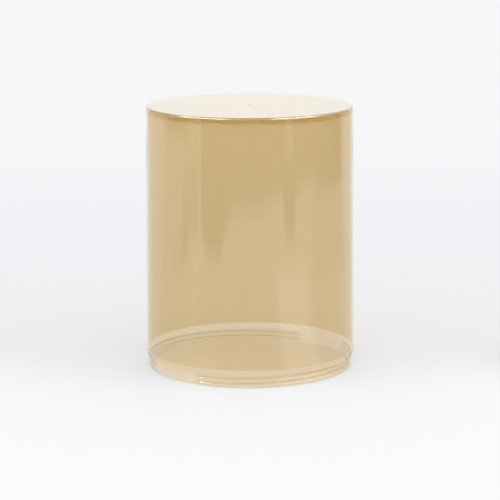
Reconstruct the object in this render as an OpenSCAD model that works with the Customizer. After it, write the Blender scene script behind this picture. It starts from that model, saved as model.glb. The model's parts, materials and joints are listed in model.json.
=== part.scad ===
// Wide straight-sided screw-neck jar, stored upside down on its open mouth, with its screw lid laid beside it.
// The jar's axis is Z and its mouth is the plane z = 0. The lid lies on the same plane with its opening up.

/* [Jar] */
// Outside diameter of the body where it meets the shoulder
body_d = 103; // [80:0.5:130]
// Height from the mouth to the closed end
jar_h = 128.5; // [90:0.5:180]
// Draft of the body's walls towards the closed end, in degrees a side
draft = 0.6; // [0:0.1:1]
// Wall of the body
wall = 1; // [0.8:0.1:2]
// Thickness of the closed end
end_plate = 3.2; // [2:0.1:5]
// Rounding of the closed end's outer edge
end_edge_r = 1; // [0.4:0.1:1.6]
// Rounding of the corner between the wall and the closed end, inside
inside_edge_r = 1; // [0.4:0.1:2]
// Diameter of the shallow gate mark in the closed end
gate_d = 1.8; // [1.2:0.1:4]
// Depth of the gate mark
gate_depth = 0.15; // [0.1:0.05:0.6]

/* [Neck] */
// Height of the neck, from the mouth to where the shoulder starts
neck_h = 8.5; // [7.5:0.1:12]
// How far the thread's crest lies inside the body's surface
crest_inset = 1.4; // [1:0.1:2.5]
// Wall of the neck under the thread
neck_wall = 1.3; // [1:0.1:2.5]
// Radius of the shoulder's round
shoulder_r = 3.6; // [2.5:0.1:5]
// Chamfer of the mouth's outer edge
rim_chamfer = 0.4; // [0.1:0.05:0.8]

/* [Thread] */
// Distance between neighbouring thread ridges
ridge_pitch = 2.4; // [2:0.05:3]
// Depth of the thread
thread_depth = 0.9; // [0.6:0.05:1.2]
// Height of the upper ridge's crest on the jar's front
ridge_z = 3.45; // [3:0.05:4]
// Width of the gap in the thread on each side, in degrees
gap_angle = 30; // [10:1:60]
// Direction of the first gap's middle, in degrees from +X
gap_at = 220; // [0:1:359]

/* [Lid] */
// Wall of the lid's skirt between the thread and the grip
lid_wall = 1.4; // [1:0.1:3]
// Thickness of the lid's flat top
lid_top = 1.8; // [1.2:0.1:3]
// Depth of the recessed panel in the lid's top
panel_depth = 0.4; // [0.2:0.05:0.6]
// Depth of the grip ribs
rib_depth = 0.5; // [0.3:0.05:0.8]
// Number of grip ribs
rib_count = 90; // [48:2:120]
// Distance between the jar's axis and the lid's axis, as the lid is laid down
lid_place = 184; // [150:1:250]

/* [Liner] */
// Thickness of the sealing liner
liner_t = 1.2; // [0.8:0.1:2]

/* [Fits] */
// Clearance between the neck's thread and the lid's thread, all round
thread_clearance = 0.35; // [0.2:0.05:0.5]
// Clearance between the liner's edge and the lid's skirt
liner_clearance = 0.4; // [0.2:0.05:0.8]
// Clearance between the closed lid's skirt and the shoulder
skirt_clearance = 0.3; // [0.2:0.05:1]

/* [Hidden] */
$fn = 128;

// Jar
body_r = body_d / 2;
crest_r = body_r - crest_inset;
root_r = crest_r - thread_depth;
bore_r = root_r - neck_wall;
end_r = body_r - (jar_h - neck_h) * tan(draft);
inside_r = body_r - wall;
inside_top = jar_h - end_plate;
inside_end_r = inside_r - (inside_top - neck_h) * tan(draft);
arc_steps = 10;

// Thread, with two starts, so that half a turn brings each ridge to the height of the next one
starts = 2;
lead = starts * ridge_pitch;
front = -90;
ridge_step = 5;
ridge_taper = 18;
flank = 0.5;
crest_half = 0.35;
buried = 0.35;
base_half = crest_half + flank * (thread_depth + buried);
sunk_tip = 0.12;
rows_on_neck = 2;
gaps = 2;

// Lid
lid_bore_r = crest_r + thread_clearance;
lid_crest_r = root_r + thread_clearance;
lid_core_r = lid_bore_r + lid_wall;
lid_r = lid_core_r + rib_depth;
seal_z = lid_top + liner_t;
lid_h = seal_z + shoulder_z(lid_bore_r - skirt_clearance);
lid_edge_r = 1.2;
lid_rim_h = 0.8;
rib_root = 0.3;
panel_r = lid_bore_r - 4;
lid_ridge_z = seal_z + ridge_z - ridge_pitch / 2;
lid_ridge_top = lid_h - lid_rim_h;
liner_r = lid_bore_r - liner_clearance;

// Height on the shoulder's round where its radius is r
function shoulder_z(r) = neck_h - sqrt(pow(shoulder_r, 2) - pow(shoulder_r - (body_r - r), 2));

// Points of an arc about a centre, from one angle to another
function arc(centre, r, from, to) =
    [for (i = [0 : arc_steps]) centre + r * [cos(from + (to - from) * i / arc_steps),
                                             sin(from + (to - from) * i / arc_steps)]];

// Height of a thread ridge's middle, at an angle from +X, for a ridge that is at z on the jar's front
function helix_z(z, angle) = z + lead * (angle - front) / 360;

// Angle at which that ridge's middle reaches a height
function helix_angle(z, height) = front + 360 * (height - z) / lead;

// One cross-section of a thread ridge: its buried base and its tip, which sinks away where grow is 0.
// Nothing of it lies below foot_z.
function ridge_section(wall_r, tip_r, z, angle, grow, foot_z) =
    let (side = sign(tip_r - wall_r))
    let (base_r = wall_r - side * buried)
    let (low_r = wall_r - side * sunk_tip)
    let (r = low_r + (tip_r - low_r) * grow)
    [for (p = [[base_r, base_half], [r, crest_half], [r, -crest_half], [base_r, -base_half]])
        [p[0] * cos(angle), p[0] * sin(angle), max(foot_z, z + side * p[1])]];

// A thread ridge on a wall of radius wall_r, with its tip at tip_r, tapered away at both ends
module thread_ridge(wall_r, tip_r, z, from, to, foot_z) {
    steps = ceil((to - from) / ridge_step);
    angles = [for (i = [0 : steps]) from + (to - from) * i / steps];
    sections = [for (a = angles)
        let (grow = min(1, (a - from) / ridge_taper, (to - a) / ridge_taper))
        ridge_section(wall_r, tip_r, helix_z(z, a), a, grow, foot_z)];
    corners = 4;
    last = steps * corners;
    sides = [for (i = [0 : steps - 1], j = [0 : corners - 1])
        let (a = i * corners + j, b = i * corners + (j + 1) % corners)
        each [[a, b + corners, b], [a, a + corners, b + corners]]];
    ends = [[0, 1, 2], [0, 2, 3], [last, last + 2, last + 1], [last, last + 3, last + 2]];
    polyhedron([for (s = sections) each s], concat(sides, ends));
}

// Half-section of the jar, closed end up
module jar_section() {
    polygon(concat(
        [[0, jar_h]],
        arc([end_r - end_edge_r, jar_h - end_edge_r], end_edge_r, 90, 0),
        arc([body_r - shoulder_r, neck_h], shoulder_r, 0, -acos((shoulder_r - body_r + root_r) / shoulder_r)),
        [[root_r, rim_chamfer], [root_r - rim_chamfer, 0], [bore_r, 0]],
        arc([bore_r, neck_h], inside_r - bore_r, -90, 0),
        arc([inside_end_r - inside_edge_r, inside_top - inside_edge_r], inside_edge_r, 0, 90),
        [[0, inside_top]]));
}

// The moulded jar: closed end, wall, shoulder, neck and the thread, with a gap at each mould parting line
module jar() {
    color([0.81, 0.70, 0.50, 0.75]) {
        difference() {
            rotate_extrude() jar_section();
            translate([0, 0, jar_h - gate_depth]) cylinder(d = gate_d, h = gate_depth + 1);
        }
        for (g = [0 : gaps - 1], row = [0 : rows_on_neck - 1]) {
            from = gap_at - 360 + gap_angle / 2;
            to = from + 360 / gaps - gap_angle;
            rotate(g * 360 / gaps)
                thread_ridge(root_r, crest_r, ridge_z - row * ridge_pitch, from, to, rim_chamfer);
        }
    }
}

// Half-section of the lid without its inside, as it lies on its flat top
module lid_section() {
    polygon(concat(
        [[0, panel_depth], [panel_r, panel_depth], [panel_r + panel_depth, 0]],
        arc([lid_core_r - lid_edge_r, lid_edge_r], lid_edge_r, -90, 0),
        [[lid_core_r, lid_h], [0, lid_h]]));
}

// Star-shaped prism whose points are the upright grip ribs round the lid's skirt
module lid_ribs() {
    rib_angle = 360 / rib_count;
    radii = [lid_r, lid_r, lid_core_r - rib_root, lid_core_r - rib_root];
    translate([0, 0, lid_edge_r])
        linear_extrude(lid_h - lid_edge_r - lid_rim_h)
            polygon([for (k = [0 : rib_count - 1], q = [0 : 3])
                radii[q] * [cos((k + q / 4) * rib_angle), sin((k + q / 4) * rib_angle)]]);
}

// The screw lid, with ridges that run in the grooves of the neck's thread
module screw_lid() {
    color("ivory")
        translate([lid_place, 0, 0]) {
            difference() {
                union() {
                    rotate_extrude() lid_section();
                    lid_ribs();
                }
                translate([0, 0, lid_top]) cylinder(r = lid_bore_r, h = lid_h);
            }
            for (s = [0 : starts - 1])
                rotate(s * 360 / starts)
                    thread_ridge(lid_bore_r, lid_crest_r, lid_ridge_z,
                                 helix_angle(lid_ridge_z, seal_z + base_half),
                                 helix_angle(lid_ridge_z, lid_ridge_top - base_half), seal_z);
        }
}

// Foam sealing disc on the inside of the lid's top
module lid_liner() {
    color("white")
        translate([lid_place, 0, lid_top])
            cylinder(r = liner_r, h = liner_t);
}

jar();
screw_lid();
lid_liner();
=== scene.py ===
import json
import math

import bmesh
import bpy
import numpy as np
from mathutils import Matrix, Vector


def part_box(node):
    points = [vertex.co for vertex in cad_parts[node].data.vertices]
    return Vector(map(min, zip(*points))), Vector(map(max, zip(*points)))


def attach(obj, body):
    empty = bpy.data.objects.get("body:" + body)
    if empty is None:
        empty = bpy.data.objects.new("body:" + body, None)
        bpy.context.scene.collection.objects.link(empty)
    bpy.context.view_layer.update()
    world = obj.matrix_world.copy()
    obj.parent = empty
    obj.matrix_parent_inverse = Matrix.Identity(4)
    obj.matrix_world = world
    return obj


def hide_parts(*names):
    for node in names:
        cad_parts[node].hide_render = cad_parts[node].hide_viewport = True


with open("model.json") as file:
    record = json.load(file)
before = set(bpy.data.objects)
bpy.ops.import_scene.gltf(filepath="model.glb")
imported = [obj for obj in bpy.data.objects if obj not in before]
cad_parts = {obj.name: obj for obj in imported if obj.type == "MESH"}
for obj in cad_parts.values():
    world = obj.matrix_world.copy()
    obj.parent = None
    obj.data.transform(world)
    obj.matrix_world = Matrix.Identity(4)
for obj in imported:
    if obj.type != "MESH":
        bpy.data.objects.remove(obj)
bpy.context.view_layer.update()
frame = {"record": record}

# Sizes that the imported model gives, in metres
MM = 0.001
MOUNTS = {m["name"]: m for m in frame["record"]["mounts"]}
JAR_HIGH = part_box("jar")[1]
LID_LOW, LID_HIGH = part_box("screw_lid")
LINER_LOW, LINER_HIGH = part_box("lid_liner")
BODY_R = JAR_HIGH.x
JAR_H = JAR_HIGH.z
BORE_R = MOUNTS["mouth"]["dims"]["r_mm"] * MM
BORE_H = MOUNTS["mouth"]["dims"]["length_mm"] * MM
LID_PLACE = Vector(((LID_LOW.x + LID_HIGH.x) / 2, 0, 0))
LID_R = (LID_HIGH.x - LID_LOW.x) / 2
LID_H = LID_HIGH.z
LINER_R = (LINER_HIGH.x - LINER_LOW.x) / 2
LID_TOP = LINER_LOW.z
SEAL_Z = LINER_HIGH.z

# Sizes that the CAD model holds and its boxes don't show, in metres and degrees
DRAFT = math.tan(math.radians(0.6))
WALL = 1.0 * MM
END_PLATE = 3.2 * MM
END_EDGE_R = 1.0 * MM
INSIDE_EDGE_R = 1.0 * MM
GATE_R = 0.9 * MM
GATE_DEPTH = 0.15 * MM
NECK_H = 8.5 * MM
CREST_INSET = 1.4 * MM
THREAD_DEPTH = 0.9 * MM
SHOULDER_R = 3.6 * MM
RIM_CHAMFER = 0.4 * MM
STARTS = 2
ROWS_ON_NECK = 2
RIDGE_PITCH = 2.4 * MM
LEAD = STARTS * RIDGE_PITCH
RIDGE_Z = 3.45 * MM
RIDGE_TAPER = 18
GAP_ANGLE = 30
GAP_AT = 220
FRONT = -90
RIB_COUNT = 90
RIB_DEPTH = 0.5 * MM
LID_EDGE_R = 1.2 * MM
LID_RIM_H = 0.8 * MM
PANEL_DEPTH = 0.4 * MM
PANEL_INSET = 4.0 * MM
THREAD_CLEARANCE = 0.35 * MM

CREST_R = BODY_R - CREST_INSET
ROOT_R = CREST_R - THREAD_DEPTH
END_R = BODY_R - (JAR_H - NECK_H) * DRAFT
INSIDE_R = BODY_R - WALL
INSIDE_TOP = JAR_H - END_PLATE
INSIDE_END_R = INSIDE_R - (INSIDE_TOP - NECK_H) * DRAFT
LID_BORE_R = CREST_R + THREAD_CLEARANCE
LID_CREST_R = ROOT_R + THREAD_CLEARANCE
LID_CORE_R = LID_R - RIB_DEPTH
PANEL_R = LID_BORE_R - PANEL_INSET

# Roundings that only this script has. A ridge is full up to RIDGE_TOP_HALF from its middle and gone at
# RIDGE_FOOT_HALF, and RIDGE_BLEND rounds the corner at its foot.
FILLET_R = 0.5 * MM
RIDGE_TOP_HALF = 0.25 * MM
RIDGE_FOOT_HALF = 0.85 * MM
RIDGE_BLEND = 0.08 * MM

# A row this far from a rounded edge keeps the flat face beside it flat when it is shaded smooth
NEAR = 0.06 * MM


def smoothstep(low, high, x):
    t = np.clip((x - low) / (high - low), 0, 1)
    return t * t * (3 - 2 * t)


def soft_max(a, b):
    """The larger of two lengths, with the corner between them rounded off."""
    return (a + b + np.sqrt((a - b) ** 2 + RIDGE_BLEND**2)) / 2


def arc(centre, radius, start, end, steps):
    """(r, z) points of an arc about a centre, from one angle to another in degrees."""
    angles = np.radians(np.linspace(start, end, steps + 1))
    return [(centre[0] + radius * math.cos(a), centre[1] + radius * math.sin(a)) for a in angles]


def line(start, end, steps):
    """(r, z) points from start to end, both included."""
    start, end = np.array(start), np.array(end)
    return [tuple(start + (end - start) * t) for t in np.linspace(0, 1, steps + 1)]


def spun(name, rows, segments, place=Vector((0, 0, 0))):
    """A closed mesh of revolution. Its rows are (r, z) pairs from pole to pole, as numbers or as one value
    per segment."""
    turn = np.radians(np.arange(segments) * 360 / segments)
    mesh = bpy.data.meshes.new(name)
    bm = bmesh.new()
    rings = []
    for r, z in rows[1:-1]:
        r, z = np.broadcast_to(r, segments), np.broadcast_to(z, segments)
        points = zip(r * np.cos(turn), r * np.sin(turn), z)
        rings.append([bm.verts.new(Vector(p) + place) for p in points])
    for lower, upper in zip(rings, rings[1:]):
        for i in range(segments):
            j = (i + 1) % segments
            bm.faces.new((lower[i], lower[j], upper[j], upper[i]))
    for pole, ring in ((rows[0], rings[0]), (rows[-1], rings[-1])):
        centre = bm.verts.new(Vector((0, 0, pole[1])) + place)
        for i in range(segments):
            bm.faces.new((centre, ring[i], ring[(i + 1) % segments]))
    bmesh.ops.recalc_face_normals(bm, faces=bm.faces)
    for face in bm.faces:
        face.smooth = True
    bm.to_mesh(mesh)
    bm.free()
    piece = bpy.data.objects.new(name, mesh)
    bpy.context.scene.collection.objects.link(piece)
    return piece


def mark(piece, name, values, segments):
    """Stores one number per row, or per row and segment, as an attribute of a spun mesh."""
    rings = [np.broadcast_to(value, segments) for value in values[1:-1]]
    poles = [values[0], values[-1]]
    numbers = np.concatenate(rings + [poles])
    piece.data.attributes.new(name, "FLOAT", "POINT").data.foreach_set("value", numbers)


# Thread. Its tint starts and ends within TINT_TAPER degrees and reaches up to THREAD_TOP. A painted shade in
# each groove is deepest along a line GROOVE_DROP below the groove's middle, and fades between two distances
# from that line.
TINT_TAPER = 7
GROOVE_DROP = 0.2 * MM
GROOVE_FADE = (0.08 * MM, 0.45 * MM)
THREAD_TOP = RIDGE_Z + 2.2 * MM
THREAD_FADE = 0.4 * MM


def ridge_lift(turn):
    """How far a thread ridge has climbed in a direction, in degrees from +X, since the jar's front."""
    return LEAD * (turn - FRONT) / 360


def ridge_share(z, turn, crest_z, ends):
    """How much of its depth a thread ridge has at a height and a direction in degrees from +X."""
    share = 1 - smoothstep(RIDGE_TOP_HALF, RIDGE_FOOT_HALF, np.abs(z - crest_z - ridge_lift(turn)))
    return share * ridge_ends(turn, ends)


def ridge_ends(turn, ends, taper=RIDGE_TAPER):
    """1 along a thread ridge, fading to 0 where the ridge tapers away at its ends."""
    return smoothstep(0, taper, turn - ends[0]) * smoothstep(0, taper, ends[1] - turn)


def half_turn(turn):
    """A direction folded onto the half of the neck that starts at the first gap, and its ridges' ends."""
    half = np.mod(turn - GAP_AT, 180) + GAP_AT - 360
    return half, (GAP_AT - 360 + GAP_ANGLE / 2, GAP_AT - 180 - GAP_ANGLE / 2)


def neck_share(z, turn):
    """Depth of the neck's thread: rows of ridges on each half, with a gap at each mould parting line."""
    half, ends = half_turn(turn)
    rows = [ridge_share(z, half, RIDGE_Z - row * RIDGE_PITCH, ends) for row in range(ROWS_ON_NECK)]
    return np.maximum(*rows)


def groove_painted_shade(z, turn):
    """Share of painted shade: how near the neck's surface is to the line in a groove, above each row of
    ridges.
    """
    half, ends = half_turn(turn)
    line_z = RIDGE_Z + RIDGE_PITCH / 2 - GROOVE_DROP + ridge_lift(half)
    away = [np.abs(z - line_z + row * RIDGE_PITCH) for row in range(ROWS_ON_NECK)]
    return (1 - smoothstep(*GROOVE_FADE, np.minimum(*away))) * ridge_ends(half, ends, TINT_TAPER)


def thread_zone(z, turn):
    """1 where the neck carries ridges, and 0 above them and in the gaps."""
    half, ends = half_turn(turn)
    below_top = 1 - smoothstep(THREAD_TOP - THREAD_FADE, THREAD_TOP + THREAD_FADE, z)
    return below_top * ridge_ends(half, ends, TINT_TAPER)


def lid_share(z, turn):
    """Depth of the lid's thread: its ridges start evenly spaced and climb from the liner to the rim."""
    crest_z = SEAL_Z + RIDGE_Z - RIDGE_PITCH / 2
    room = 1.0 * MM
    low, high = SEAL_Z + room, LID_H - LID_RIM_H - room
    ends = [FRONT + 360 * (height - crest_z) / LEAD for height in (low, high)]
    share = np.zeros_like(turn)
    for start in range(STARTS):
        along = np.mod(turn - start * 360 / STARTS - ends[0], 360) + ends[0]
        share = np.maximum(share, ridge_share(z, along, crest_z, ends))
    return share


# Jar. The plain stretch of its wall lies between WALL_LOW and WALL_HIGH. How much the wall bends light fades
# to nothing over the last BEND_FADE below WALL_TOP.
JAR_SEGMENTS = 480
WALL_TOP = INSIDE_TOP - 2.0 * MM
WALL_LOW, WALL_HIGH = NECK_H + MM, WALL_TOP - MM
BEND_FADE = 45 * MM
SAME_HEIGHT = 0.01 * MM

# The coat is full on the body and fades at the shoulder, and the thread has some of it between two heights
GLOSS_FADE = 0.4 * MM
NECK_GLOSS = 0.6
NECK_GLOSS_Z = (0.6 * MM, 5.0 * MM)

# Heights between which the closed end's edge has its own tint
EDGE_TINT_Z = (INSIDE_TOP - 0.1 * MM, JAR_H - 0.03 * MM)


def wall_r(z):
    """Outside radius of the body at a height."""
    return BODY_R - (z - NECK_H) * DRAFT


def bends_light(z):
    """1 on the closed end's flat faces and low on the wall, 0 on the neck and at the closed end's edge."""
    if np.isclose(z, (JAR_H - GATE_DEPTH, JAR_H, INSIDE_TOP), atol=SAME_HEIGHT).any():
        return 1.0
    return float(smoothstep(NECK_H, WALL_LOW, z) * (1 - smoothstep(WALL_TOP - BEND_FADE, WALL_TOP, z)))


def gloss_at(z):
    """Weight of the glossy coat at a height of the jar's outside."""
    on_body = float(smoothstep(NECK_H - GLOSS_FADE, NECK_H + GLOSS_FADE, z))
    on_thread = NECK_GLOSS if NECK_GLOSS_Z[0] < z < NECK_GLOSS_Z[1] else 0
    return max(on_body, on_thread)


def is_edge(r, z):
    """1 on the closed end's edge and 0 elsewhere. The small gate mark lies at the same heights."""
    return float(EDGE_TINT_Z[0] < z < EDGE_TINT_Z[1] and np.min(r) > BODY_R / 2)


def jar_outside(turn):
    """Rows from the gate mark over the closed end, the wall and the neck to the rim, and how much of the
    grooves' painted shade and of the thread's tint each has."""
    gate_round, gate_core = 0.3 * MM, 0.4 * GATE_R
    gate_z = JAR_H - GATE_DEPTH
    rows = [(0, gate_z)]
    rows += line((gate_core, gate_z), (GATE_R - gate_round, gate_z), steps=1)
    rows += line((GATE_R, JAR_H - GATE_DEPTH / 2), (GATE_R + gate_round, JAR_H), steps=1)
    rows += line((GATE_R + 2 * gate_round, JAR_H), (END_R - END_EDGE_R - NEAR, JAR_H), steps=4)
    rows += arc((END_R - END_EDGE_R, JAR_H - END_EDGE_R), END_EDGE_R, 90, 0, steps=10)
    rows += line((END_R + NEAR * DRAFT, JAR_H - END_EDGE_R - NEAR), (wall_r(WALL_TOP), WALL_TOP), steps=3)
    rows += line((wall_r(WALL_HIGH), WALL_HIGH), (wall_r(WALL_LOW), WALL_LOW), steps=14)
    rows.append((wall_r(NECK_H + NEAR), NECK_H + NEAR))
    groove_shades, threads = [0] * len(rows), [0] * len(rows)
    shoulder_mid = (BODY_R - SHOULDER_R, NECK_H)
    fillet_out = ROOT_R + FILLET_R - shoulder_mid[0]
    fillet_end = math.degrees(math.acos(fillet_out / (SHOULDER_R + FILLET_R)))
    fillet_mid = (ROOT_R + FILLET_R, NECK_H - math.sqrt((SHOULDER_R + FILLET_R) ** 2 - fillet_out**2))
    neck = arc(shoulder_mid, SHOULDER_R, 0, -fillet_end, steps=20)
    neck += arc(fillet_mid, FILLET_R, 180 - fillet_end, 180, steps=8)[1:]
    neck += line((ROOT_R, fillet_mid[1]), (ROOT_R, RIM_CHAMFER), steps=64)[1:]
    for r, z in neck:
        threaded = soft_max(r, ROOT_R + THREAD_DEPTH * neck_share(z, turn))
        rows.append((threaded if r < BODY_R - NEAR else r, z))
        groove_shades.append(groove_painted_shade(z, turn))
        threads.append(thread_zone(z, turn))
    rim = arc((ROOT_R - RIM_CHAMFER, RIM_CHAMFER), RIM_CHAMFER, 0, -90, steps=6)[1:]
    return rows + rim, groove_shades + [0] * len(rim), threads + [0] * len(rim)


def jar_inside():
    """Rows from the rim up the bore and the wall to the middle of the closed end."""
    lip, lip_gap = 0.4 * MM, 2
    step_r = INSIDE_R - BORE_R
    lip_end = lip_gap - math.degrees(math.acos(lip / step_r))
    first_ring = 2 * MM
    edge_mid = (INSIDE_END_R - INSIDE_EDGE_R, INSIDE_TOP - INSIDE_EDGE_R)
    rows = arc((BORE_R + RIM_CHAMFER, RIM_CHAMFER), RIM_CHAMFER, -90, -180, steps=6)
    rows += line((BORE_R, RIM_CHAMFER + NEAR), (BORE_R, BORE_H - lip - NEAR), steps=5)
    rows += arc((BORE_R + lip, BORE_H - lip), lip, 180, 90, steps=6)
    rows += arc((BORE_R, NECK_H), step_r, lip_end, 0, steps=14)
    rows.append((wall_r(NECK_H + NEAR) - WALL, NECK_H + NEAR))
    rows += line((wall_r(WALL_LOW) - WALL, WALL_LOW), (wall_r(WALL_HIGH) - WALL, WALL_HIGH), steps=14)
    rows += line((wall_r(WALL_TOP) - WALL, WALL_TOP), (INSIDE_END_R, edge_mid[1] - NEAR), steps=1)
    rows += arc(edge_mid, INSIDE_EDGE_R, 0, 90, steps=8)
    rows += line((edge_mid[0] - NEAR, INSIDE_TOP), (first_ring, INSIDE_TOP), steps=4)
    rows.append((0, INSIDE_TOP))
    return rows


# Materials. Most values of a noise texture lie between these two.
NOISE_SPREAD = (0.3, 0.7)

# Sockets of a Mix node that take and give colours
COLOUR_A, COLOUR_B, COLOUR_OUT = 6, 7, 2


def new_material(name):
    material = bpy.data.materials.new(name)
    material.use_nodes = True
    tree = material.node_tree
    return material, tree, tree.nodes["Principled BSDF"]


def add(tree, kind, **values):
    """A new node, with its settings and its unlinked inputs set by name."""
    node = tree.nodes.new(kind)
    for key, value in values.items():
        if key in node.inputs:
            node.inputs[key].default_value = value
        else:
            setattr(node, key, value)
    return node


def math_node(tree, operation, a, b):
    """The output of a Math node whose two inputs are sockets or numbers."""
    node = add(tree, "ShaderNodeMath", operation=operation)
    for slot, value in enumerate((a, b)):
        if isinstance(value, (int, float)):
            node.inputs[slot].default_value = value
        else:
            tree.links.new(value, node.inputs[slot])
    return node.outputs[0]


def ramp(tree, value, low, high, start=0.0, end=1.0):
    """A smooth change from start to end as value goes from low to high."""
    node = add(tree, "ShaderNodeMapRange", interpolation_type="SMOOTHSTEP")
    tree.links.new(value, node.inputs["Value"])
    limits = {"From Min": low, "From Max": high, "To Min": start, "To Max": end}
    for name, limit in limits.items():
        if isinstance(limit, bpy.types.NodeSocket):
            tree.links.new(limit, node.inputs[name])
        else:
            node.inputs[name].default_value = limit
    return node.outputs["Result"]


def mix_colour(tree, share, first, second):
    """The output of a colour mix. first and second are colours or sockets."""
    node = add(tree, "ShaderNodeMix", data_type="RGBA")
    tree.links.new(share, node.inputs["Factor"])
    for slot, colour in ((COLOUR_A, first), (COLOUR_B, second)):
        if isinstance(colour, tuple):
            node.inputs[slot].default_value = colour + (1,)
        else:
            tree.links.new(colour, node.inputs[slot])
    return node.outputs[COLOUR_OUT]


def object_place(tree):
    return add(tree, "ShaderNodeTexCoord").outputs["Object"]


def split_xyz(tree, vector):
    """The three outputs that hold a vector's parts."""
    split = add(tree, "ShaderNodeSeparateXYZ")
    tree.links.new(vector, split.inputs[0])
    return split.outputs


def marked(tree, name):
    """The number that a mesh attribute holds."""
    return add(tree, "ShaderNodeAttribute", attribute_name=name).outputs["Fac"]


# Tints of the jar's surfaces
BODY_TINT = (0.843, 0.719, 0.50)
EDGE_TINT = (0.56, 0.357, 0.11)
NECK_TINT = (0.96, 0.922, 0.872)
THREAD_TINT = (0.84, 0.75, 0.56)
# The next colour is painted shade along the thread's grooves
GROOVE_PAINTED_SHADE = (0.53, 0.39, 0.21)
STREAK_TINT = (0.78, 0.62, 0.38)
STREAK_SHARE = 0.03
BODY_TINT_Z = (NECK_H - 0.1 * MM, NECK_H + 0.2 * MM)

# Tints of light that crosses the jar to a dull surface, and where each takes over from the one before it
NECK_LIGHT = (0.93, 0.86, 0.73)
BODY_LIGHT = (0.86, 0.735, 0.535)
BODY_LIGHT_Z = (NECK_H - MM, NECK_H + MM)
CLEAR_LIGHT = (0.95, 0.95, 0.95)
SIDE_LIGHT = (0.80, 0.80, 0.80)
SIDE_LIGHT_X = (0.5 * BODY_R, 0.8 * BODY_R)
RIM_LIGHT = (0.68, 0.62, 0.53)
RIM_LIGHT_Z = (0.5 * MM, 1.2 * MM)
BACK_LIGHT = (0.89, 0.79, 0.63)
BACK_LIGHT_Y = (0.3 * BODY_R, 0.7 * BODY_R)

# Light has crossed no surface yet while its transparent depth is below this
FIRST_CROSSING = 0.5

# How much the plastic bends light where the mesh's mark is 0 and 1, and how it shines
PLASTIC_IOR = (1.001, 1.06)
PLASTIC_ROUGHNESS = (0.012, 0.03)
COAT_IOR = 1.78
COAT_ROUGHNESS = 0.09


def plastic_tint(tree, height):
    """Tan in the body, gold at the closed end's edge, pale in the neck, darker in its thread, with painted
    shade along the thread's grooves.
    """
    in_body = ramp(tree, height, *BODY_TINT_Z)
    tint = mix_colour(tree, marked(tree, "thread"), NECK_TINT, THREAD_TINT)
    # Painted shade along the thread's grooves
    tint = mix_colour(tree, marked(tree, "groove"), tint, GROOVE_PAINTED_SHADE)
    tint = mix_colour(tree, in_body, tint, BODY_TINT)
    return mix_colour(tree, marked(tree, "edge"), tint, EDGE_TINT)


def light_tint(tree, across, back, height):
    """What the jar leaves of light that crosses it: tan inside and behind the jar, and least at the rim."""
    at_side = ramp(tree, math_node(tree, "ABSOLUTE", across, 0.0), *SIDE_LIGHT_X)
    at_rim = ramp(tree, height, *RIM_LIGHT_Z, 1.0, 0.0)
    at_back = ramp(tree, back, *BACK_LIGHT_Y)
    in_body = ramp(tree, height, *BODY_LIGHT_Z)
    outside = mix_colour(tree, at_rim, mix_colour(tree, at_side, CLEAR_LIGHT, SIDE_LIGHT), RIM_LIGHT)
    outside = mix_colour(tree, at_back, outside, BACK_LIGHT)
    inside = mix_colour(tree, in_body, NECK_LIGHT, BODY_LIGHT)
    first = mix_colour(tree, marked(tree, "inside"), outside, inside)
    path = add(tree, "ShaderNodeLightPath")
    is_first = math_node(tree, "LESS_THAN", path.outputs["Transparent Depth"], FIRST_CROSSING)
    return mix_colour(tree, is_first, CLEAR_LIGHT, first)


def lit_through(tree, shader, tint):
    """Lets light on its way to a dull surface pass straight through, in a tint of its own."""
    link = tree.links.new
    path = add(tree, "ShaderNodeLightPath")
    passed = add(tree, "ShaderNodeBsdfTransparent")
    link(tint, passed.inputs["Color"])
    mixed = shader
    for ray in ("Is Diffuse Ray", "Is Shadow Ray"):
        either = add(tree, "ShaderNodeMixShader")
        link(path.outputs[ray], either.inputs[0])
        link(mixed.outputs[0], either.inputs[1])
        link(passed.outputs[0], either.inputs[2])
        mixed = either
    return mixed.outputs[0]


def tinted_plastic():
    """Clear tan plastic with faint flow streaks, glossy on the body's outside and less so on the thread."""
    material, tree, shader = new_material("tinted_plastic")
    link = tree.links.new
    place = object_place(tree)
    x, y, height = split_xyz(tree, place)
    shader.inputs["Transmission Weight"].default_value = 1
    link(ramp(tree, marked(tree, "bend"), 0.0, 1.0, *PLASTIC_IOR), shader.inputs["IOR"])
    flow = add(tree, "ShaderNodeTexNoise", Scale=38.0, Detail=3.0)
    link(place, flow.inputs["Vector"])
    roughness = ramp(tree, flow.outputs["Fac"], *NOISE_SPREAD, *PLASTIC_ROUGHNESS)
    link(roughness, shader.inputs["Roughness"])
    shader.inputs["Coat IOR"].default_value = COAT_IOR
    shader.inputs["Coat Roughness"].default_value = COAT_ROUGHNESS
    link(marked(tree, "gloss"), shader.inputs["Coat Weight"])
    streaks = ramp(tree, flow.outputs["Fac"], *NOISE_SPREAD, 0.0, STREAK_SHARE)
    link(mix_colour(tree, streaks, plastic_tint(tree, height), STREAK_TINT), shader.inputs["Base Color"])
    surface = lit_through(tree, shader, light_tint(tree, x, y, height))
    link(surface, tree.nodes["Material Output"].inputs["Surface"])
    return material


def build_jar():
    outside, groove_shades, threads = jar_outside(np.arange(JAR_SEGMENTS) * 360 / JAR_SEGMENTS)
    inside = jar_inside()
    jar = spun("jar_shell", outside + inside, JAR_SEGMENTS)
    gloss = [gloss_at(z) for _, z in outside]
    edge = [is_edge(r, z) for r, z in outside]
    # The groove mark carries the painted shade of the thread's grooves
    marks = {"groove": groove_shades, "thread": threads, "gloss": gloss, "edge": edge}
    for name, values in marks.items():
        mark(jar, name, values + [0] * len(inside), JAR_SEGMENTS)
    mark(jar, "inside", [0] * len(outside) + [1] * len(inside), JAR_SEGMENTS)
    mark(jar, "bend", [bends_light(z) for _, z in outside + inside], JAR_SEGMENTS)
    jar.data.materials.append(tinted_plastic())
    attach(jar, "jar")
    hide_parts("jar")


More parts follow.
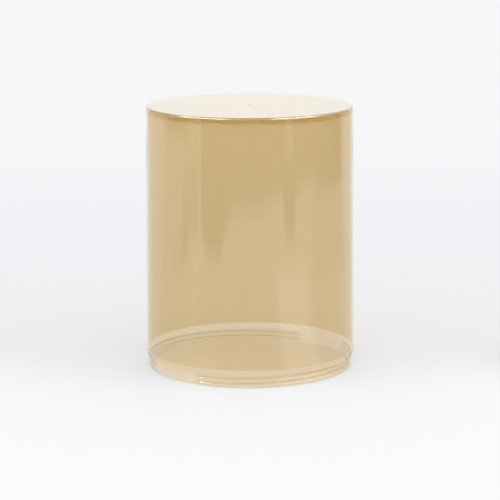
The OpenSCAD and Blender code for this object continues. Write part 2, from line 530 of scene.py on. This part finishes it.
# Lid. Mirror images show a plain patch of the studio where the lid and its liner lie, and leave both out.
SEGMENTS_A_RIB = 8
LID_SEGMENTS = RIB_COUNT * SEGMENTS_A_RIB
LID_TONES = ((0.71, 0.675, 0.58), (0.75, 0.715, 0.62))
GRAIN_SPREAD = (0.25, 0.75)
LID_ROUGHNESS = (0.36, 0.50)


def lid_rows():
    """Rows from the middle of the flat top round the ribbed skirt and the rim, then down the thread."""
    turn = np.arange(LID_SEGMENTS) * 360 / LID_SEGMENTS
    rib_middle, rib_flank = 1 / 8, (0.15, 0.85)
    wave = 0.5 + 0.5 * np.cos(2 * math.pi * (turn * RIB_COUNT / 360 - rib_middle))
    rib = smoothstep(*rib_flank, wave)
    fade = 0.5 * MM
    rib_low, rib_high = LID_EDGE_R, LID_H - LID_RIM_H
    edge = 0.3 * MM
    corner = 0.5 * MM
    first_ring = 5 * MM
    rib_rows, thread_rows = 15, 40
    rows = [(0, PANEL_DEPTH)]
    rows += line((first_ring, PANEL_DEPTH), (PANEL_R - NEAR, PANEL_DEPTH), steps=4)
    rows += line((PANEL_R, PANEL_DEPTH - NEAR), (PANEL_R + PANEL_DEPTH, 0), steps=2)
    rows += line((PANEL_R + PANEL_DEPTH + NEAR, 0), (LID_CORE_R - LID_EDGE_R - NEAR, 0), steps=2)
    rows += arc((LID_CORE_R - LID_EDGE_R, LID_EDGE_R), LID_EDGE_R, -90, 0, steps=8)
    for z in np.linspace(rib_low + NEAR, rib_high, rib_rows):
        height = smoothstep(rib_low, rib_low + fade, z) * (1 - smoothstep(rib_high - fade, rib_high, z))
        rows.append((LID_CORE_R + RIB_DEPTH * rib * height, z))
    rows += arc((LID_CORE_R - edge, LID_H - edge), edge, 0, 90, steps=5)
    rows += arc((LID_BORE_R + edge, LID_H - edge), edge, 90, 180, steps=5)
    for z in np.linspace(LID_H - edge - NEAR, LID_TOP + corner, thread_rows):
        rows.append((LID_BORE_R - (LID_BORE_R - LID_CREST_R) * lid_share(z, turn), z))
    rows += arc((LID_BORE_R - corner, LID_TOP + corner), corner, 0, -90, steps=5)[1:]
    rows += line((LID_BORE_R - corner - NEAR, LID_TOP), (first_ring, LID_TOP), steps=4)
    rows.append((0, LID_TOP))
    return rows


def lid_plastic():
    """Satin ivory plastic with a fine moulded grain and slightly uneven colour and gloss."""
    material, tree, shader = new_material("lid_plastic")
    link = tree.links.new
    place = object_place(tree)
    cloud = add(tree, "ShaderNodeTexNoise", Scale=45.0, Detail=4.0)
    grain = add(tree, "ShaderNodeTexNoise", Scale=2600.0, Detail=2.0)
    for noise in (cloud, grain):
        link(place, noise.inputs["Vector"])
    shade = ramp(tree, cloud.outputs["Fac"], *NOISE_SPREAD)
    link(mix_colour(tree, shade, *LID_TONES), shader.inputs["Base Color"])
    link(ramp(tree, grain.outputs["Fac"], *GRAIN_SPREAD, *LID_ROUGHNESS), shader.inputs["Roughness"])
    bump = add(tree, "ShaderNodeBump", Strength=0.12, Distance=0.05 * MM)
    link(grain.outputs["Fac"], bump.inputs["Height"])
    link(bump.outputs[0], shader.inputs["Normal"])
    return material


def build_lid():
    lid = spun("lid_shell", lid_rows(), LID_SEGMENTS, LID_PLACE)
    lid.data.materials.append(lid_plastic())
    lid.visible_glossy = False
    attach(lid, "lid")
    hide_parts("screw_lid")


# Liner
LINER_SEGMENTS = 256
LINER_TONES = ((0.855, 0.855, 0.838), (0.87, 0.87, 0.855))
LINER_ROUGHNESS = 0.72


def liner_rows():
    """Rows from the middle of the underside round the edge to the top, with the shallow dent of the rim."""
    edge = 0.2 * MM
    dent, side, slack = 0.12 * MM, 0.3 * MM, 0.1 * MM
    dent_in, dent_out = BORE_R - slack, ROOT_R - RIM_CHAMFER + slack
    under_ring, top_ring = 5 * MM, 4 * MM
    dent_rows = 17
    rows = [(0, LID_TOP)]
    rows += line((under_ring, LID_TOP), (LINER_R - edge - NEAR, LID_TOP), steps=3)
    rows += arc((LINER_R - edge, LID_TOP + edge), edge, -90, 0, steps=4)
    rows += arc((LINER_R - edge, SEAL_Z - edge), edge, 0, 90, steps=4)
    for r in np.linspace(dent_out + side, dent_in - side, dent_rows):
        within = smoothstep(dent_in - side, dent_in, r) * (1 - smoothstep(dent_out, dent_out + side, r))
        rows.append((r, SEAL_Z - dent * within))
    rows += line((dent_in - 2 * side, SEAL_Z), (top_ring, SEAL_Z), steps=8)
    rows.append((0, SEAL_Z))
    return rows


def liner_foam():
    """White closed-cell foam: small cells in relief and a faintly mottled, dull surface."""
    material, tree, shader = new_material("liner_foam")
    link = tree.links.new
    place = object_place(tree)
    cells = add(tree, "ShaderNodeTexVoronoi", Scale=1100.0)
    mottle = add(tree, "ShaderNodeTexNoise", Scale=120.0, Detail=5.0)
    for texture in (cells, mottle):
        link(place, texture.inputs["Vector"])
    shade = ramp(tree, mottle.outputs["Fac"], *NOISE_SPREAD)
    link(mix_colour(tree, shade, *LINER_TONES), shader.inputs["Base Color"])
    shader.inputs["Roughness"].default_value = LINER_ROUGHNESS
    bump = add(tree, "ShaderNodeBump", Strength=0.18, Distance=0.08 * MM)
    link(cells.outputs["Distance"], bump.inputs["Height"])
    link(bump.outputs[0], shader.inputs["Normal"])
    return material


def build_liner():
    liner = spun("liner_disc", liner_rows(), LINER_SEGMENTS, LID_PLACE)
    liner.data.materials.append(liner_foam())
    liner.visible_glossy = False
    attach(liner, "lid")
    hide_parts("lid_liner")


# Stage
FLOOR_DROP = 0.1 * MM
FLOOR_REACH = 12.0


def flat_sheet(name, half_x, low_y, high_y, z):
    """A level rectangle that belongs to the stage."""
    mesh = bpy.data.meshes.new(name)
    corners = [(-half_x, low_y, z), (half_x, low_y, z), (half_x, high_y, z), (-half_x, high_y, z)]
    mesh.from_pydata(corners, [], [(0, 1, 2, 3)])
    sheet = bpy.data.objects.new(name, mesh)
    bpy.context.scene.collection.objects.link(sheet)
    return sheet


# Painted tone of the floor at distances from the jar's axis, from the front to the back, in metres: painted
# shade from the jar on backwards, lighter and cooler far behind
FLOOR_SHADE_TONES = (
    (-0.07, (0.985, 0.985, 0.983)),
    (0.05, (0.890, 0.890, 0.890)),
    (0.30, (0.885, 0.898, 0.925)),
    (0.85, (0.940, 0.945, 0.965)),
)


def build_floor():
    """White paper with painted shade: a little darker from the jar on, and cooler towards the back."""
    floor = flat_sheet("floor", FLOOR_REACH, -FLOOR_REACH, FLOOR_REACH, -FLOOR_DROP)
    material, tree, shader = new_material("floor_paper")
    back = split_xyz(tree, object_place(tree))["Y"]
    colour = FLOOR_SHADE_TONES[0][1]
    for (near, _), (far, tone) in zip(FLOOR_SHADE_TONES, FLOOR_SHADE_TONES[1:]):
        colour = mix_colour(tree, ramp(tree, back, near, far), colour, tone)
    tree.links.new(colour, shader.inputs["Base Color"])
    shader.inputs["Roughness"].default_value = 1
    shader.inputs["Specular IOR Level"].default_value = 0
    floor.data.materials.append(material)


# The studio as mirror images show it, painted as reflections on a sheet that only glossy rays see. White
# paper reaches to an edge, with a dark room beyond it: distances of the edge from the jar's axis in metres,
# by direction in degrees from the front, positive to the right.
PAPER_EDGE = (
    (-104, 1.00), (-68, 0.96), (-65.5, 4.0), (-56, 4.0), (-54, 1.0), (-52.5, 0.49), (-46, 0.41),
    (-33, 0.39), (-30, 0.43), (-20, 0.575), (-13, 0.605), (8, 0.60), (22, 0.65), (35, 0.68), (36.5, 0.49),
    (47.5, 0.485), (49, 0.67), (58, 0.71), (70, 0.70), (80, 0.63), (99, 0.615), (119, 0.66),
)
LEFT_END, RIGHT_END = (math.radians(PAPER_EDGE[i][0]) for i in (0, -1))
EDGE_SOFT = 0.15
EDGE_FAR = 4.0
ROOM_LIGHT = 0.03

# Glowing patches of painted reflection, lighter or darker than the floor in mirror images: the two
# directions that each lies between, its least and greatest distance, and its brightness. The last one covers
# the lid's place.
PAINTED_REFLECTION_PATCHES = (
    (-104, -76, 0.30, 0.95, 0.75),
    (-76, -68, 0.37, 0.85, 0.35),
    (-68, -54.5, 0.47, 0.95, 0.38),
    (-68, -54.5, 0.95, 9.00, 0.52),
    (-62, -52, 0.04, 0.45, 1.10),
    (-60, -25, 0.04, 0.12, 1.20),
    (-42, 42, 0.04, 0.08, 2.00),
    (38.5, 47.5, 0.90, 9.00, 0.60),
    (26, 62, 0.04, 0.36, 1.35),
    (28, 58, 0.04, 0.30, 1.55),
    (18, 54, 0.04, 0.07, 2.90),
    (70, 119, 0.30, 0.62, 0.70),
    (70, 119, 0.11, 0.27, 0.90),
)
TURN_SOFT = math.radians(3.3)
SIDE_SOFT = math.radians(8)
AWAY_SOFT = 0.10
STUDIO_REACH = 9.0
STUDIO_BACK = 4.0
STUDIO_LIFT = 0.01 * MM


def between(tree, value, low, high, low_soft, high_soft):
    """1 where value lies between two limits and 0 elsewhere, with soft ends."""
    over = ramp(tree, value, low - low_soft, low + low_soft)
    under = ramp(tree, value, high - high_soft, high + high_soft, 1.0, 0.0)
    return math_node(tree, "MULTIPLY", over, under)


def turn_from_front(tree, x, y):
    """Direction from the front in radians, positive to the right."""
    return math_node(tree, "ARCTAN2", x, math_node(tree, "MULTIPLY", y, -1.0))


def paper_edge(tree, turn):
    """Distance of the paper's edge from the jar's axis in a direction."""
    width = RIGHT_END - LEFT_END
    share = math_node(tree, "DIVIDE", math_node(tree, "SUBTRACT", turn, LEFT_END), width)
    outline = add(tree, "ShaderNodeValToRGB")
    tree.links.new(share, outline.inputs["Fac"])
    stops = outline.color_ramp.elements
    for side, distance in PAPER_EDGE:
        place = (math.radians(side) - LEFT_END) / width
        stop = stops[0] if place == 0 else stops[-1] if side == PAPER_EDGE[-1][0] else stops.new(place)
        stop.color = (distance / EDGE_FAR,) * 3 + (1,)
    return math_node(tree, "MULTIPLY", outline.outputs["Color"], EDGE_FAR)


def laid_over(tree, below, share, brightness):
    """A glowing layer over another shader, as far as share says."""
    over = add(tree, "ShaderNodeMixShader")
    tree.links.new(share, over.inputs[0])
    tree.links.new(below.outputs[0], over.inputs[1])
    tree.links.new(add(tree, "ShaderNodeEmission", Strength=brightness).outputs[0], over.inputs[2])
    return over


def build_mirrored_studio():
    """Painted reflections: the paper, the room and the patches that glossy pieces mirror, glowing on a sheet
    that is otherwise unseen.
    """
    sheet = flat_sheet("mirrored_studio", STUDIO_REACH, -STUDIO_REACH, STUDIO_BACK, STUDIO_LIFT)
    material, tree, _ = new_material("mirrored_studio")
    link = tree.links.new
    place = object_place(tree)
    x, y, _ = split_xyz(tree, place)
    turn = turn_from_front(tree, x, y)
    length = add(tree, "ShaderNodeVectorMath", operation="LENGTH")
    link(place, length.inputs[0])
    away = length.outputs["Value"]
    to_edge = math_node(tree, "DIVIDE", away, paper_edge(tree, turn))
    beyond = ramp(tree, to_edge, 1 - EDGE_SOFT, 1 + EDGE_SOFT)
    in_front = between(tree, turn, LEFT_END, RIGHT_END, SIDE_SOFT, SIDE_SOFT)
    clear = add(tree, "ShaderNodeBsdfTransparent")
    seen = laid_over(tree, clear, math_node(tree, "MULTIPLY", beyond, in_front), ROOM_LIGHT)
    for start, end, near, far, brightness in PAINTED_REFLECTION_PATCHES:
        in_turn = between(tree, turn, math.radians(start), math.radians(end), TURN_SOFT, TURN_SOFT)
        in_reach = between(tree, away, near, far, near * AWAY_SOFT, far * AWAY_SOFT)
        seen = laid_over(tree, seen, math_node(tree, "MULTIPLY", in_turn, in_reach), brightness)
    link(seen.outputs[0], tree.nodes["Material Output"].inputs["Surface"])
    sheet.data.materials.append(material)
    sheet.visible_camera = False
    sheet.visible_diffuse = False
    sheet.visible_transmission = False
    sheet.visible_volume_scatter = False
    sheet.visible_shadow = False


# Two wide lamps seen only as highlights: directions in degrees either side of the front, heights as sines,
# and how soft their ends are in radians and as a sine. A first reflection's ray depth is below FIRST_DEPTH.
LAMP_TURN = (28, 93)
LAMP_TURN_SOFT = 0.08
LAMP_HEIGHT = (0.42, 0.74)
LAMP_HEIGHT_SOFT = 0.05
LAMP_STRENGTH = 16.0
FIRST_DEPTH = 2.5

# Light of the whole sky, the strength at which it is seen itself, and soft round patches of more light: the
# direction of each, the degrees from it at which its light is full and gone, and its strength
SKY_LIGHT = 0.59
SKY_SEEN = 0.93
OVERHEAD_GLOW = ((0.35, -0.1, 0.93), 0, 90, 0.55)
LOW_BACK_GLOW = ((0, 1, 0.12), 14, 50, 0.46)


def sky_glow(tree, towards, direction, inner, outer, strength):
    """Light from a round patch of the sky, full within inner degrees of its middle and gone at outer."""
    near = add(tree, "ShaderNodeVectorMath", operation="DOT_PRODUCT")
    tree.links.new(towards, near.inputs[0])
    near.inputs[1].default_value = Vector(direction).normalized()
    low, high = (math.cos(math.radians(a)) for a in (outer, inner))
    return ramp(tree, near.outputs["Value"], low, high, 0.0, strength)


def lamp_glow(tree, towards):
    """Light of the two lamps in a direction of the sky, for a glossy surface's first reflection only."""
    x, y, z = split_xyz(tree, towards)
    turn = turn_from_front(tree, math_node(tree, "ABSOLUTE", x, 0.0), y)
    path = add(tree, "ShaderNodeLightPath")
    light = math_node(tree, "LESS_THAN", path.outputs["Ray Depth"], FIRST_DEPTH)
    for ray in ("Is Reflection Ray", "Is Glossy Ray"):
        light = math_node(tree, "MULTIPLY", light, path.outputs[ray])
    in_turn = between(tree, turn, *np.radians(LAMP_TURN), LAMP_TURN_SOFT, LAMP_TURN_SOFT)
    in_height = between(tree, z, *LAMP_HEIGHT, LAMP_HEIGHT_SOFT, LAMP_HEIGHT_SOFT)
    for share in (in_turn, in_height):
        light = math_node(tree, "MULTIPLY", light, share)
    return math_node(tree, "MULTIPLY", light, LAMP_STRENGTH)


def build_world():
    """A white sky, brighter overhead, on the right and low behind the jar, with two lamps in reflections."""
    world = bpy.data.worlds.new("studio")
    bpy.context.scene.world = world
    world.use_nodes = True
    tree = world.node_tree
    towards = add(tree, "ShaderNodeTexCoord").outputs["Generated"]
    light = math_node(tree, "ADD", sky_glow(tree, towards, *OVERHEAD_GLOW), SKY_LIGHT)
    light = math_node(tree, "ADD", sky_glow(tree, towards, *LOW_BACK_GLOW), light)
    light = math_node(tree, "ADD", lamp_glow(tree, towards), light)
    path = add(tree, "ShaderNodeLightPath")
    seen = math_node(tree, "MAXIMUM", path.outputs["Is Camera Ray"], path.outputs["Is Transmission Ray"])
    light = ramp(tree, seen, 0.0, 1.0, light, SKY_SEEN)
    background = tree.nodes["Background"]
    background.inputs["Color"].default_value = (1, 1, 1, 1)
    tree.links.new(light, background.inputs["Strength"])


# Camera. Its lens and sensor are in millimetres.
CAMERA_DISTANCE = 1.0098
CAMERA_TARGET = Vector((0, 0, 0.0568))
CAMERA_PITCH = math.radians(11.03)
CAMERA_ROLL = math.radians(-0.2)
CAMERA_LENS = 147.74
CAMERA_SENSOR = 36


def build_camera():
    data = bpy.data.cameras.new("camera")
    data.sensor_width = CAMERA_SENSOR
    data.lens = CAMERA_LENS
    camera = bpy.data.objects.new("camera", data)
    bpy.context.scene.collection.objects.link(camera)
    away = Vector((0, -math.cos(CAMERA_PITCH), math.sin(CAMERA_PITCH)))
    camera.matrix_world = (
        Matrix.Translation(CAMERA_TARGET + CAMERA_DISTANCE * away)
        @ Matrix.Rotation(math.radians(90) - CAMERA_PITCH, 4, "X")
        @ Matrix.Rotation(CAMERA_ROLL, 4, "Z")
    )
    bpy.context.scene.camera = camera


MAX_BOUNCES = 32
GLOSSY_BOUNCES = 16


def set_up_render():
    """Enough bounces for light that crosses the jar's walls many times, and colours shown as they are."""
    scene = bpy.context.scene
    scene.view_settings.view_transform = "Standard"
    scene.cycles.max_bounces = MAX_BOUNCES
    scene.cycles.transmission_bounces = MAX_BOUNCES
    scene.cycles.glossy_bounces = GLOSSY_BOUNCES


build_camera()
build_floor()
build_mirrored_studio()
build_world()
build_jar()
build_lid()
build_liner()
set_up_render()
